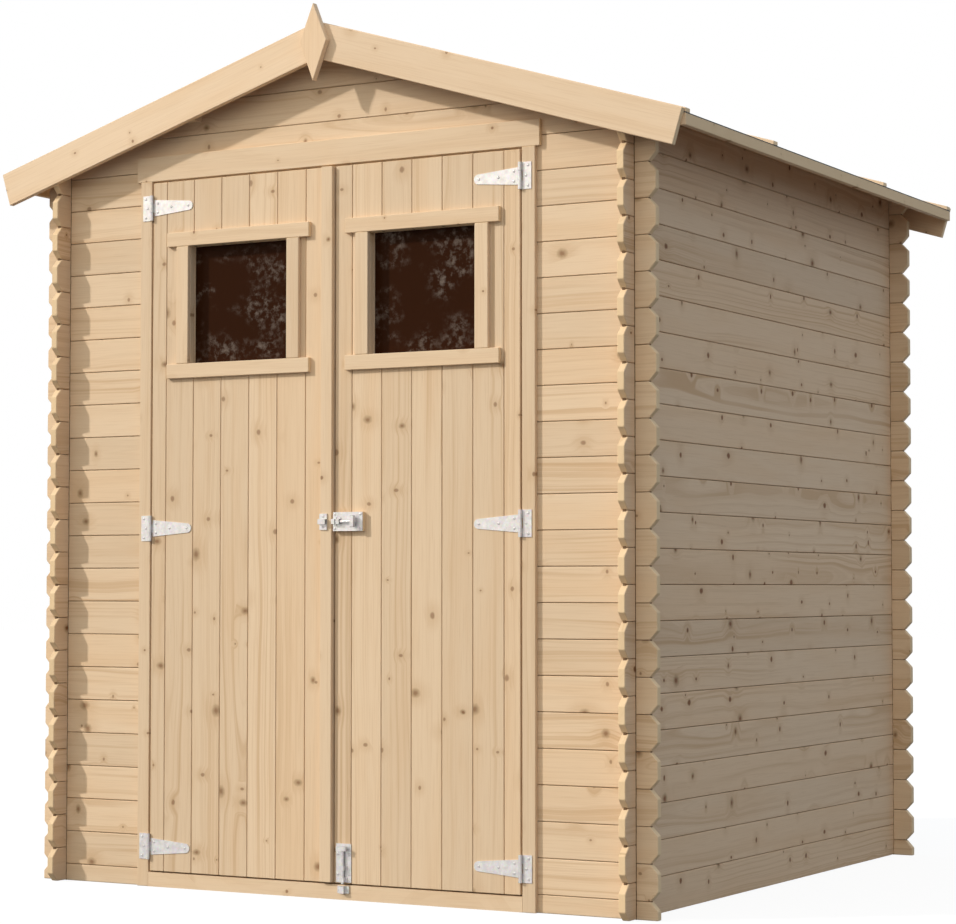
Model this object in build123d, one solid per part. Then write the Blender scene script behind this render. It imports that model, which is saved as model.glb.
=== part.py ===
"""Wooden garden shed of interlocking wall boards, with double doors and a gable roof.

Millimetres. +X is to the right seen from the front, the front faces -Y, +Z is up.
The origin is on the ground in the middle of the plan.
"""
from build123d import *
from math import cos, radians, sin, tan
import os

os.makedirs("parts", exist_ok=True)

# Wall boards
board = 88.0
wall_t = 19.0
courses = 22
house_w = 1722.0
house_d = 1740.0
log_end = 57.0
end_run = 20.0
end_rise = 22.0
groove_w = 4.0
groove_d = 2.5

# Roof
pitch = 17.0
ridge_z = 2196.5
roof_t = 16.0
felt_t = 2.0
eave_x = 1008.0
eave_board_t = 16.0
eave_board_z = 1872.0
batten_w = 25.0
batten_t = 10.0
batten_y = 388.0
barge_w = 90.0
barge_t = 16.0
barge_x = 1022.0
barge_top_z = 2223.4
finial_w = 80.0
finial_z = (2069.0, 2171.0, 2269.0)
finial_t = 18.0
ridge_purlin_w = 44.0
ridge_purlin_z = 2142.0
purlin_x = 430.0
purlin_w = 44.0
purlin_h = 45.0

# Door opening and its frame
trim_t = 12.0
opening_x = 577.0
opening_z = 1881.0
jamb_in = 560.5
jamb_out = 597.0
header_x = 610.0
header_z = (1864.5, 1930.5)
stop_in = 545.0
stop_y = 13.0
stop_z = 1849.0
frame_back = 38.0
sill_z = 37.5

# Door leaves
leaf_x = 555.5
leaf_z = (42.5, 1859.5)
leaf_t = 19.0
leaf_seam = 70.5
meeting_x = 17.0
meeting_gap = 5.5
ledge_h = 70.0
ledge_t = 16.0
ledge_x = 538.0
hinge_z = (105.0, 941.0, 1793.0)
cover_w = 34.0

# Windows
window_x = 278.5
window_w = 310.0
window_z = (1373.0, 1684.0)
casing_w = 38.0
casing_len = 448.0
casing_joint = 0.4
sash_w = 30.0
sash_t = 20.0
glass_t = 4.0
glass_y = 12.0
glass_rebate = 10.0

# Hinges and bolts
pin_x = 558.0
pin_r = 2.5
pin_clear = 0.05
knuckle_r = 5.0
knuckle_h = 23.0
steel_t = 2.0
hinge_h = 67.0
hinge_w = 30.0
strap_len = 131.0
strap_h = (43.5, 24.5)
rod_r = 4.0
handle_len = 30.0
handle_w = 10.0
handle_y = (1.0, 11.0)
handle_edge = 2.0
band_t = 1.5
band_gap = 1.0
mid_bolt_z = 951.5
mid_plate = (23.0, 111.0)
mid_plate_h = 48.0
mid_keeper = (-17.0, 5.0)
mid_keeper_h = 41.0
mid_rod = (22.5, 93.0)
mid_handle_x = 87.5
mid_bands = (29.0, 42.0)
foot_plate_x = (27.0, 72.0)
foot_plate_z = (44.0, 141.0)
foot_keeper_w = 34.0
foot_keeper_z = (17.0, 35.0)
foot_rod_z = (41.0, 134.0)
foot_handle_z = 128.5
foot_bands = (51.0, 80.0)

half_w = house_w / 2
half_d = house_d / 2
front = -half_d
slope = tan(radians(pitch))
eave_out = eave_x + eave_board_t
seams = [(n + 0.5) * board for n in range(courses + 5)]
side_seams = [n * board for n in range(1, courses)]
room_x = half_w - wall_t
room_y = half_d - wall_t
roof_rise = roof_t / cos(radians(pitch))
felt_rise = felt_t / cos(radians(pitch))


def under_roof(x):
    """Height of the roof boards' underside at a distance from the ridge."""
    return ridge_z - slope * abs(x)


def block(x0, x1, y0, y1, z0, z1):
    """A straight-sided block between two corners."""
    middle = ((x0 + x1) / 2, (y0 + y1) / 2, (z0 + z1) / 2)
    return Pos(*middle) * Box(x1 - x0, y1 - y0, z1 - z0)


def plate(outline, y0, y1):
    """An upright plate: an outline of (x, z) points carried from y0 to y1."""
    face = Face(Wire.make_polygon([(x, y0, z) for x, z in outline], close=True))
    return extrude(face, amount=y1 - y0, dir=(0, 1, 0))


def to_side(wall, x):
    """Turn a wall built along X so that it runs along Y, its first face at x."""
    return Pos(x, 0, 0) * Rot(0, 0, 90) * wall


def grooved_edge(start, end, joints):
    """One long side of a row of boards, with a V groove at each joint between them."""
    step = groove_w / 2
    points = [(start, 0.0)]
    for joint in joints:
        points += [(joint - step, 0.0), (joint, groove_d), (joint + step, 0.0)]
    return points + [(end, 0.0)]


def board_row(start, end, joints, thickness):
    """Section of boards side by side: grooved at the joints outside, flush inside."""
    inside = [joint for joint in joints if start + groove_w < joint < end - groove_w]
    return grooved_edge(start, end, inside) + [(end, thickness), (start, thickness)]


def wall_boards(x0, x1, z0, z1, joints):
    """A panel of level boards in the XZ plane, its outer face at y 0."""
    section = board_row(z0, z1, joints, wall_t)
    face = Face(Wire.make_polygon([(x0, t, z) for z, t in section], close=True))
    return extrude(face, amount=x1 - x0, dir=(1, 0, 0))


def door_boards(x0, x1, joints):
    """A door leaf's upright boards, their outer face at y 0."""
    section = board_row(x0, x1, joints, leaf_t)
    face = Face(Wire.make_polygon([(x, t, leaf_z[0]) for x, t in section], close=True))
    return extrude(face, amount=leaf_z[1] - leaf_z[0], dir=(0, 0, 1))


def end_outline(tip, joints, low, high):
    """Outline of a stack of board ends on the +X side, each with its corners cut off."""
    root = tip - end_run
    levels = [low] + [joint for joint in joints if low < joint < high] + [high]
    half_board = levels[1] - low < board * 0.9
    points = [(tip if half_board else root, low)]
    for lower, upper in zip(levels, levels[1:]):
        if upper - lower > board * 0.9:
            points.append((tip, lower + end_rise))
        points += [(tip, upper - end_rise), (root, upper)]
    return points


def corner_slots(x, offset, low, high):
    """The notches in a stack of boards where the crossing wall's boards pass through."""
    slots = []
    for n in range(-1, courses + 2):
        z0 = max((n + offset - 0.25) * board, low - 1)
        z1 = min((n + offset + 0.25) * board, high + 1)
        if z1 > z0:
            slots.append(block(x - wall_t, x, -1, wall_t + 1, z0, z1))
    return slots


def mirror_x(points):
    return [(-x, z) for x, z in points][::-1]


def roof_space():
    """Everything above the roof boards' underside."""
    wide = 2 * half_w
    top = 2 * ridge_z
    outline = [(0, ridge_z), (wide, under_roof(wide)), (wide, top), (-wide, top), (-wide, under_roof(wide))]
    return plate(outline, -2 * half_d, 2 * half_d)


def purlins():
    """Ridge purlin and one purlin half-way down each slope, gable to gable."""
    reach = half_d + log_end
    w = ridge_purlin_w / 2
    ridge = [(-w, ridge_purlin_z), (w, ridge_purlin_z), (w, under_roof(w)), (0, ridge_z), (-w, under_roof(w))]
    inner = purlin_x - purlin_w / 2
    outer = purlin_x + purlin_w / 2
    foot = under_roof(outer) - purlin_h
    side = [(inner, foot), (outer, foot), (outer, under_roof(outer)), (inner, under_roof(inner))]
    return [plate(outline, -reach, reach) for outline in (ridge, side, mirror_x(side))]


def end_wall_part(outline, x0, x1, z0, z1):
    """Part of a front or rear wall: level boards cut to an outline and to the roof."""
    panel = wall_boards(x0, x1, z0, z1, seams) & plate(outline, -1, wall_t + 1)
    corner = corner_slots(half_w, 0.5, z0, z1)
    corner += [mirror(slot, about=Plane.YZ) for slot in corner]
    return panel - corner - roof_space()


def front_walls():
    """The front wall beside the doorway, and its gable over the doorway."""
    tip = half_w + log_end
    split = seams[courses - 1]
    ends = end_outline(tip, seams, 0.0, split)
    right = end_wall_part([(opening_x, 0)] + ends + [(opening_x, split)], opening_x, tip, 0.0, split)
    gable_end = end_outline(tip, seams, split, seams[courses + 3])
    low = [(opening_x, split), (opening_x, opening_z), (-opening_x, opening_z), (-opening_x, split)]
    gable = end_wall_part(gable_end + mirror_x(gable_end) + low[::-1], -tip, tip, opening_z, ridge_z)
    for purlin in purlins():
        gable = gable - Pos(0, half_d, 0) * purlin
    left = mirror(right, about=Plane.YZ)
    return [Pos(0, front, 0) * part for part in (left, right, gable)]


def rear_wall():
    """The rear wall and its gable, in one stack of boards."""
    tip = half_w + log_end
    ends = end_outline(tip, seams, 0.0, seams[courses + 3])
    wall = end_wall_part(ends + mirror_x(ends), -tip, tip, 0.0, ridge_z)
    for purlin in purlins():
        wall = wall - Pos(0, half_d, 0) * purlin
    return Pos(0, room_y, 0) * wall


def side_wall():
    """A side wall along X, its inner face at y 0 and its outer face at y -wall_t."""
    tip = half_d + log_end
    top = courses * board + wall_t
    ends = end_outline(tip, side_seams, 0.0, courses * board)[:-2] + [(tip, top)]
    panel = wall_boards(-tip, tip, 0.0, top, side_seams) & plate(ends + mirror_x(ends), -1, wall_t + 1)
    slots = corner_slots(half_d, 0.0, 0.0, top)
    slots += [mirror(slot, about=Plane.YZ) for slot in slots]
    return panel - slots


def side_walls():
    """Left and right walls, their tops cut to the slope of the roof."""
    wall = side_wall()
    left = to_side(wall, -room_x) - roof_space()
    right = to_side(wall, half_w) - roof_space()
    return left, right


def door_frame():
    """Cover boards, posts with door stops, lintel and sill round the doorway."""
    jamb = block(jamb_in, jamb_out, -trim_t, 0, 0, header_z[0])
    post_plan = [(jamb_in, 0), (opening_x, 0), (opening_x, frame_back), (stop_in, frame_back),
                 (stop_in, stop_y), (jamb_in, stop_y)]
    post_face = Face(Wire.make_polygon([(x, y, 0) for x, y in post_plan], close=True))
    post = extrude(post_face, amount=stop_z, dir=(0, 0, 1))
    jambs = Compound([mirror(jamb, about=Plane.YZ), jamb])
    posts = Compound([mirror(post, about=Plane.YZ), post])
    header = block(-header_x, header_x, -trim_t, 0, *header_z)
    lintel = block(-opening_x, opening_x, 0, frame_back, header_z[0], opening_z)
    lintel += block(-opening_x, opening_x, stop_y, frame_back, stop_z, header_z[0])
    sill = block(-jamb_in, jamb_in, -trim_t, 0, 0, sill_z)
    sill += block(-stop_in, stop_in, 0, frame_back, 0, sill_z)
    named = {"door_jambs": jambs, "door_posts": posts, "door_header": header,
             "door_lintel": lintel, "door_sill": sill}
    return {name: Pos(0, front, 0) * part for name, part in named.items()}


def roof_boards():
    """Boards of the right slope, laid from ridge to eave, with grooves on their underside."""
    reach = half_d + log_end
    count = round(2 * reach / board)
    cover = 2 * reach / count
    joints = [-reach + cover * n for n in range(1, count)]
    section = grooved_edge(-reach, reach, joints) + [(reach, roof_t), (-reach, roof_t)]
    length = 2 * half_w
    face = Face(Wire.make_polygon([(-length / 2, y, z) for y, z in section], close=True))
    sheet = extrude(face, amount=length * 1.5, dir=(1, 0, 0))
    sheet = Pos(0, 0, ridge_z) * Rot(0, pitch, 0) * sheet
    return sheet & block(0, eave_x, -2 * reach, 2 * reach, 0, 2 * ridge_z)


def roof_trim():
    """Felt, eave boards and battens over the roof boards."""
    reach = half_d + log_end
    top = ridge_z + roof_rise
    outer = top - slope * eave_out
    felt = [(0, top), (eave_out, outer), (eave_out, outer + felt_rise), (0, top + felt_rise)]
    felt = plate(felt, -reach, reach)
    eave = [(eave_x, eave_board_z), (eave_out, eave_board_z), (eave_out, outer), (eave_x, top - slope * eave_x)]
    eave = plate(eave, -reach, reach)
    rise = batten_t / cos(radians(pitch))
    base = top + felt_rise
    strip = [(1, base - slope), (eave_out, base - slope * eave_out),
             (eave_out, base - slope * eave_out + rise), (1, base - slope + rise)]
    end = reach - batten_w / 2
    rows = [plate(strip, y - batten_w / 2, y + batten_w / 2) for y in (-end, -batten_y, batten_y, end)]
    battens = Compound(rows + [mirror(row, about=Plane.YZ) for row in rows])
    felt = felt + mirror(felt, about=Plane.YZ)
    return {"roof_felt": felt, "eave_boards": Compound([mirror(eave, about=Plane.YZ), eave]),
            "roof_battens": battens}


def gable_trim():
    """Barge boards on one gable and the pointed finial over their joint."""
    drop = barge_w / cos(radians(pitch))
    end_z = barge_top_z - slope * barge_x
    cut = (barge_x - barge_w * sin(radians(pitch)), end_z - barge_w * cos(radians(pitch)))
    outline = [(0.5, barge_top_z - slope * 0.5), (barge_x, end_z), cut, (0.5, barge_top_z - slope * 0.5 - drop)]
    inner = -half_d - log_end
    barge = plate(outline, inner - barge_t, inner)
    w = finial_w / 2
    low, middle, high = finial_z
    finial = plate([(0, low), (w, middle), (0, high), (-w, middle)], inner - barge_t - finial_t, inner - barge_t)
    return Compound([mirror(barge, about=Plane.YZ), barge]), finial


def leaf_panel(x0, x1, joints, window_mid):
    """Upright boards of one leaf, with the window cut through them."""
    w = window_w / 2
    hole = block(window_mid - w, window_mid + w, -1, leaf_t + 1, *window_z)
    return Pos(0, front - trim_t, 0) * (door_boards(x0, x1, joints) - hole)


def leaf_back(x0, x1, window_mid):
    """Three level ledges behind a leaf, and the grooved sash that holds its pane."""
    y = front - trim_t + leaf_t
    ledges = []
    for z in hinge_z:
        middle = min(max(z, leaf_z[0] + ledge_h / 2 + 10), stop_z - ledge_h / 2 - 8)
        ledges.append(block(x0, x1, y, y + ledge_t, middle - ledge_h / 2, middle + ledge_h / 2))
    w = window_w / 2
    low, high = window_z
    sash = block(window_mid - w - sash_w, window_mid + w + sash_w, y, y + sash_t, low - sash_w, high + sash_w)
    sash -= block(window_mid - w, window_mid + w, y - 1, y + sash_t + 1, low, high)
    e = glass_rebate
    pane = block(window_mid - w - e, window_mid + w + e, front + glass_y, front + glass_y + glass_t, low - e, high + e)
    return Compound(ledges), sash - pane, pane


def window_casing(window_mid):
    """Flat boards round the front of a window: the rails run past the stiles."""
    y0 = front - trim_t - trim_t
    y1 = front - trim_t
    low, high = window_z
    w = window_w / 2
    rail = casing_len / 2
    pieces = []
    for z in (low - casing_w, high):
        pieces.append(block(window_mid - rail, window_mid + rail, y0, y1, z, z + casing_w))
    for x in (window_mid - w - casing_w, window_mid + w):
        pieces.append(block(x, x + casing_w, y0, y1, low + casing_joint, high - casing_joint))
    return Compound(pieces)


def knuckle(z0, z1):
    """A rolled hinge knuckle round the pin's line."""
    return Pos(pin_x, front - trim_t - knuckle_r, (z0 + z1) / 2) * Cylinder(knuckle_r, z1 - z0)


def hinge_plate(z):
    """The right jamb's hinge plate, with its pin fixed in the two outer knuckles."""
    y1 = front - trim_t
    y0 = y1 - steel_t
    h = hinge_h / 2
    k = knuckle_h / 2 + 0.5
    clear = pin_x + knuckle_r + 1.5
    body = block(clear, pin_x + hinge_w, y0, y1, z - h, z + h)
    body += block(pin_x, clear, y0, y1, z + k, z + h)
    body += block(pin_x, clear, y0, y1, z - h, z - k)
    body += knuckle(z + k, z + h)
    body += knuckle(z - h, z - k)
    body += Pos(pin_x, y1 - knuckle_r, z) * Cylinder(pin_r, 2 * k)
    return body


def hinge_strap(z):
    """The right leaf's tapered strap with a round tip, turning on the pin."""
    y1 = front - trim_t
    y0 = y1 - steel_t
    root = pin_x - knuckle_r - 2
    tip = pin_x - strap_len
    r = strap_h[1] / 2
    wide = strap_h[0] / 2
    edge = Polyline((tip + r, y0, z + r), (root, y0, z + wide), (root, y0, z - wide), (tip + r, y0, z - r))
    nose = ThreePointArc((tip + r, y0, z - r), (tip, y0, z), (tip + r, y0, z + r))
    strap = extrude(Face(Wire([*edge.edges(), nose])), amount=steel_t, dir=(0, 1, 0))
    tongue = knuckle_h / 2
    strap += block(root - 1, pin_x, y0, y1, z - tongue, z + tongue)
    strap += knuckle(z - tongue, z + tongue)
    bore = Pos(pin_x, y1 - knuckle_r, z) * Cylinder(pin_r + pin_clear, knuckle_h + 2)
    return strap - bore


def band(width, height, face_y):
    """A bridge over a bolt's rod: centred on the origin in X, the rod running along X."""
    inside = rod_r + band_gap
    outside = inside + band_t
    depth = 2 * rod_r + band_gap
    back = face_y - depth - band_t
    bridge = block(-width / 2, width / 2, back, face_y, -outside, outside)
    bridge -= block(-width / 2 - 1, width / 2 + 1, back + band_t, face_y + 1, -inside, inside)
    flange = block(-width / 2, width / 2, face_y - band_t, face_y, -height / 2, height / 2)
    flange -= block(-width / 2 - 1, width / 2 + 1, face_y - band_t - 1, face_y + 1, -inside, inside)
    return bridge + flange


def handle():
    """A bolt's flat handle, crossing in front of a rod that runs along X."""
    near, far = handle_y
    bar = block(-handle_w / 2, handle_w / 2, -far, -near, -handle_len / 2, handle_len / 2)
    bar = chamfer(bar.edges().filter_by(Axis.X), handle_edge)
    return bar + block(-handle_w / 2, handle_w / 2, -far / 2, rod_r / 2, -rod_r / 2, rod_r / 2)


def mid_bolt():
    """Slide bolt at mid height: packer, plate with two bridges, keeper, and the rod."""
    face = front - trim_t - trim_t
    x0, x1 = mid_plate
    h = mid_plate_h / 2
    packer = block(x0, x1, face, front - trim_t, mid_bolt_z - h, mid_bolt_z + h)
    base = block(x0, x1, face - steel_t, face, mid_bolt_z - h, mid_bolt_z + h)
    top = face - steel_t
    for x in mid_bands:
        base += Pos(x, 0, mid_bolt_z) * band(10.0, 22.0, top)
    keeper_mid = (mid_keeper[0] + mid_keeper[1]) / 2
    keeper = Pos(keeper_mid, 0, mid_bolt_z) * band(mid_keeper[1] - mid_keeper[0], mid_keeper_h, top)
    keeper += block(*mid_keeper, top, face, mid_bolt_z - mid_keeper_h / 2, mid_bolt_z + mid_keeper_h / 2)
    rod_y = top - rod_r - band_gap / 2
    length = mid_rod[1] - mid_rod[0]
    rod = Pos((mid_rod[0] + mid_rod[1]) / 2, rod_y, mid_bolt_z) * Rot(0, 90, 0) * Cylinder(rod_r, length)
    rod += Pos(mid_handle_x, rod_y, mid_bolt_z) * handle()
    return packer, base, keeper, rod


def foot_bolt():
    """Slide bolt at the right leaf's foot: plate with two bridges, keeper on the sill, rod."""
    face = front - trim_t
    x0, x1 = foot_plate_x
    middle = (x0 + x1) / 2
    base = block(x0, x1, face - steel_t, face, *foot_plate_z)
    top = face - steel_t
    for z in foot_bands:
        base += Pos(middle, 0, z) * Rot(0, 90, 0) * band(12.0, 24.0, top)
    low, high = foot_keeper_z
    wide = foot_keeper_w / 2
    keeper = Pos(middle, 0, (low + high) / 2) * Rot(0, 90, 0) * band(high - low, foot_keeper_w, top)
    keeper += block(middle - wide, middle + wide, top, face, low, high)
    rod_y = top - rod_r - band_gap / 2
    z0, z1 = foot_rod_z
    rod = Pos(middle, rod_y, (z0 + z1) / 2) * Cylinder(rod_r, z1 - z0)
    rod += Pos(middle, rod_y, foot_handle_z) * Rot(0, 90, 0) * handle()
    return base, keeper, rod


def save(name, shape):
    export_step(shape, f"parts/{name}.step")


def main():
    for name, part in zip(("front_wall_left", "front_wall_right", "front_gable"), front_walls()):
        save(name, part)
    save("rear_wall", rear_wall())
    for name, part in zip(("left_wall", "right_wall"), side_walls()):
        save(name, part)
    for name, part in door_frame().items():
        save(name, part)

    right_slope = roof_boards()
    save("roof_boards_right", right_slope)
    save("roof_boards_left", mirror(right_slope, about=Plane.YZ))
    save("purlins", Compound(purlins()))
    for name, part in roof_trim().items():
        save(name, part)
    barge, finial = gable_trim()
    save("front_barge_boards", barge)
    save("rear_barge_boards", mirror(barge, about=Plane.XZ))
    save("front_finial", finial)
    save("rear_finial", mirror(finial, about=Plane.XZ))

    joints = [leaf_seam + board * n for n in range(6)]
    sides = {"left": (-leaf_x, meeting_x, [-x for x in joints][::-1], -window_x),
             "right": (meeting_x + meeting_gap, leaf_x, joints, window_x)}
    backs = {"left": (-ledge_x, meeting_x - 15), "right": (meeting_x + meeting_gap + 15, ledge_x)}
    for side, (x0, x1, lines, middle) in sides.items():
        save(f"{side}_door_boards", leaf_panel(x0, x1, lines, middle))
        ledges, sash, pane = leaf_back(*backs[side], middle)
        save(f"{side}_door_ledges", ledges)
        save(f"{side}_window_sash", sash)
        save(f"{side}_window_glass", pane)
        save(f"{side}_window_casing", window_casing(middle))
    cover = block(meeting_x - cover_w, meeting_x, front - 2 * trim_t, front - trim_t, *leaf_z)
    save("door_cover_strip", cover)

    plates = [hinge_plate(z) for z in hinge_z]
    straps = [hinge_strap(z) for z in hinge_z]
    save("hinge_plates", Compound(plates + [mirror(part, about=Plane.YZ) for part in plates]))
    save("right_hinge_straps", Compound(straps))
    save("left_hinge_straps", Compound([mirror(part, about=Plane.YZ) for part in straps]))
    packer, base, keeper, rod = mid_bolt()
    save("mid_bolt_packer", packer)
    save("mid_bolt_plate", base)
    save("mid_bolt_keeper", keeper)
    save("mid_bolt", rod)
    base, keeper, rod = foot_bolt()
    save("foot_bolt_plate", base)
    save("foot_bolt_keeper", keeper)
    save("foot_bolt", rod)


main()
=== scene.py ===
"""Finish of a small wooden garden shed: planed pine boards, zinc-plated hinges and bolts, dark panes."""

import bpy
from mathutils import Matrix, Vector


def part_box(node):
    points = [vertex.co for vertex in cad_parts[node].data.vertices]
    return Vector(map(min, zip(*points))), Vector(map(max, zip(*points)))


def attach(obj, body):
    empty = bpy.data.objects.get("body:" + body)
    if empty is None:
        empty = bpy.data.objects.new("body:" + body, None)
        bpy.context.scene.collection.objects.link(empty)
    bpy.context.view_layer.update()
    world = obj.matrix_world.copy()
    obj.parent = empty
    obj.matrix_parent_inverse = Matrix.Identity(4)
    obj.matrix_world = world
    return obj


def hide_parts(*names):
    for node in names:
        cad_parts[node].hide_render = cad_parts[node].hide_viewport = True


bl_info = {
    "name": "Garden Shed Finish",
    "version": (1, 0, 0),
    "blender": (4, 5, 0),
    "location": "View3D > Sidebar > Shed",
    "description": "Builds the boards, roof, doors and fittings of a wooden garden shed round its frame",
    "category": "Object",
}

import math
import random

import bmesh
import bpy
from mathutils import Matrix, Vector

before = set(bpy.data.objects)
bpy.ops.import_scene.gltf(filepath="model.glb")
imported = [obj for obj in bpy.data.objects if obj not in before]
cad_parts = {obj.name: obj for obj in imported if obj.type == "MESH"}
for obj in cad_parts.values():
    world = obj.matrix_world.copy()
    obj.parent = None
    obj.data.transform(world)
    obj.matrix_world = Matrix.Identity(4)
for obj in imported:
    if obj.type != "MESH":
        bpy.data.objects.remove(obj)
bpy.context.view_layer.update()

MM = 0.001
IMAGE_W = 956
FOCAL_PX = 2594.2
SENSOR = 36.0
CAMERA_PLACE = (3.582, -6.431, 0.787)
CAMERA_TURN = math.radians(29.54)
CAMERA_RISE = math.radians(2.751)
SUN_RUN = Vector((0.67, 0.55, -0.50))
FILL_RUN = Vector((0.12, 1.0, -0.22))
FLOOR_REACH = 30.0

TINY = 0.000001
TONGUE = 3 * MM
ROOF_T = 16 * MM
FELT_T = 2 * MM
BATTEN_T = 10 * MM
BARGE_W = 90 * MM
FINIAL_WAIST = 0.51
LEAF_SEAM = 70.5 * MM
GLASS_REBATE = 10 * MM
STEEL_T = 2 * MM
KEEPER_T = 3.5 * MM
PIN_X = 558 * MM
PLATE_SCREWS = ((21 * MM, 25 * MM), (21 * MM, -25 * MM), (15 * MM, 0.0))
STRAP_SCREWS = ((18 * MM, 12 * MM), (18 * MM, -12 * MM), (62 * MM, 0.0), (117 * MM, 0.0))


class ShedSizes(bpy.types.PropertyGroup):
    """Sizes of boards, joints and screws"""

    board: bpy.props.FloatProperty(
        name="Board", description="Cover height of a wall board", default=88 * MM, unit="LENGTH")
    joint: bpy.props.FloatProperty(
        name="Joint", description="Open gap between two boards", default=1.4 * MM, unit="LENGTH")
    edge: bpy.props.FloatProperty(
        name="Board edge", description="Bevel on a wall or door board's edges", default=1.6 * MM, unit="LENGTH")
    trim_edge: bpy.props.FloatProperty(
        name="Trim edge", description="Bevel on the trim's edges", default=1.2 * MM, unit="LENGTH")
    end_run: bpy.props.FloatProperty(
        name="End cut length", description="Length of the cut corner on a board's end", default=20 * MM,
        unit="LENGTH")
    end_rise: bpy.props.FloatProperty(
        name="End cut height", description="Height of the cut corner on a board's end", default=22 * MM,
        unit="LENGTH")
    ridge: bpy.props.FloatProperty(
        name="Ridge", description="Height of the roof boards' underside at the ridge", default=2196.5 * MM,
        unit="LENGTH")
    pitch: bpy.props.FloatProperty(
        name="Pitch", description="Slope of the roof", default=math.radians(17), subtype="ANGLE")
    screw: bpy.props.FloatProperty(
        name="Screw head", description="Radius of a screw head", default=3.6 * MM, unit="LENGTH")


def colour(name, words, value):
    """A colour that a user can change."""
    return bpy.props.FloatVectorProperty(
        name=name, description=words, default=value, size=3, min=0, max=1, subtype="COLOR")


class ShedColours(bpy.types.PropertyGroup):
    """Colours of timber, steel, felt, glass and floor"""

    pale: colour("Pale grain", "Early wood of the planed pine", (0.758, 0.580, 0.405))
    dark: colour("Dark grain", "Late wood of the planed pine", (0.55, 0.355, 0.195))
    honey: colour("Heart", "Warmer boards cut near the heart", (0.715, 0.50, 0.310))
    knot: colour("Knot", "Centre of a knot", (0.20, 0.085, 0.035))
    cut: colour("Cut end", "End grain of a sawn board", (0.80, 0.61, 0.375))
    # Painted shade: tongues and corner lines take this dark brown for the shade in the joints.
    seam: colour("Seam", "Tongue behind an open joint", (0.15, 0.085, 0.04))
    zinc: colour("Zinc", "Zinc plating on hinges and bolts", (0.61, 0.60, 0.615))
    felt: colour("Felt", "Grit on the roofing felt", (0.12, 0.125, 0.13))
    # Painted shade: the dark of the shaded room behind the nearly opaque panes.
    pane: colour("Pane", "Tint of the panes", (0.030, 0.0095, 0.0035))
    # Painted reflection: the mottled light patches on the panes.
    painted_reflection: colour("Film", "Mottled sheen on the panes", (0.170, 0.135, 0.115))
    floor: colour("Floor", "Studio floor", (0.86, 0.86, 0.86))


class Graph:
    """Short calls for building a node tree."""

    def __init__(self, tree):
        self.tree = tree

    def add(self, kind, inputs=(), **settings):
        node = self.tree.nodes.new(kind)
        for key, value in settings.items():
            setattr(node, key, value)
        for key, value in dict(inputs).items():
            socket = node.inputs[key]
            if isinstance(value, bpy.types.NodeSocket):
                self.tree.links.new(value, socket)
            else:
                socket.default_value = value
        return node

    def math(self, operation, a, b=0.0, clamp=False):
        node = self.add("ShaderNodeMath", {0: a, 1: b}, operation=operation, use_clamp=clamp)
        return node.outputs[0]

    def vector(self, operation, a, b=(0, 0, 0)):
        node = self.add("ShaderNodeVectorMath", {0: a, 1: b}, operation=operation)
        return node.outputs["Value" if operation == "LENGTH" else "Vector"]

    def noise(self, vector, scale=1.0, detail=2.0, roughness=0.5):
        inputs = {"Vector": vector, "Scale": scale, "Detail": detail, "Roughness": roughness}
        return self.add("ShaderNodeTexNoise", inputs).outputs[0]

    def here(self):
        return self.add("ShaderNodeTexCoord").outputs["Object"]

    def grey(self, value):
        return self.add("ShaderNodeCombineXYZ", {0: value, 1: value, 2: value}).outputs[0]

    def ramp(self, value, low, high, out_low=0.0, out_high=1.0):
        inputs = {"Value": value, "From Min": low, "From Max": high, "To Min": out_low, "To Max": out_high}
        return self.add("ShaderNodeMapRange", inputs, interpolation_type="SMOOTHSTEP").outputs[0]

    def mix(self, factor, a, b, blend="MIX"):
        node = self.add("ShaderNodeMix", {0: factor, 6: a, 7: b}, data_type="RGBA", blend_type=blend)
        return node.outputs[2]


def rgba(value, strength=1.0):
    """A socket's colour, made darker or lighter by strength."""
    return (*(c * strength for c in value), 1.0)


def new_material(name):
    """An empty material and the graph to fill it with."""
    made = bpy.data.materials.new(name)
    made.use_nodes = True
    made.node_tree.nodes.clear()
    return made, Graph(made.node_tree)


def close(g, colour_socket, roughness, bump=None, depth=0.3 * MM, strength=0.3, **values):
    """Principled shader and output at the end of a material."""
    inputs = {"Base Color": colour_socket, "Roughness": roughness}
    inputs.update(values)
    if bump is not None:
        height = g.add("ShaderNodeBump", {"Height": bump, "Strength": strength, "Distance": depth})
        inputs["Normal"] = height.outputs[0]
    shader = g.add("ShaderNodeBsdfPrincipled", inputs)
    g.add("ShaderNodeOutputMaterial", {"Surface": shader.outputs[0]})


def knots(g, along, across, seed, cell, sizes, density, phase):
    """How far out from the nearest knot's middle a point is, in radii, and 1 where there is a knot."""
    qx = g.math("ADD", g.math("DIVIDE", along, cell[0]), g.math("MULTIPLY", seed, 91.7 + phase))
    qy = g.math("ADD", g.math("DIVIDE", across, cell[1]), g.math("MULTIPLY", seed, 57.3 - phase))
    q = g.add("ShaderNodeCombineXYZ", {0: qx, 1: qy}).outputs[0]
    spots = g.add("ShaderNodeTexVoronoi", {"Vector": q, "Scale": 1.0, "Randomness": 0.9},
                  voronoi_dimensions="2D")
    chance = g.add("ShaderNodeSeparateXYZ", {0: spots.outputs["Color"]})
    gap = g.vector("SUBTRACT", q, spots.outputs["Position"])
    stretch = g.ramp(chance.outputs[2], 0.0, 1.0, 0.75, 1.5)
    scale = g.add("ShaderNodeCombineXYZ", {0: g.math("MULTIPLY", stretch, cell[0]), 1: cell[1]})
    distance = g.vector("LENGTH", g.vector("MULTIPLY", gap, scale.outputs[0]))
    radius = g.ramp(chance.outputs[1], 0.0, 1.0, *sizes)
    present = g.math("GREATER_THAN", chance.outputs[0], 1 - density)
    return g.math("DIVIDE", distance, radius), present


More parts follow.
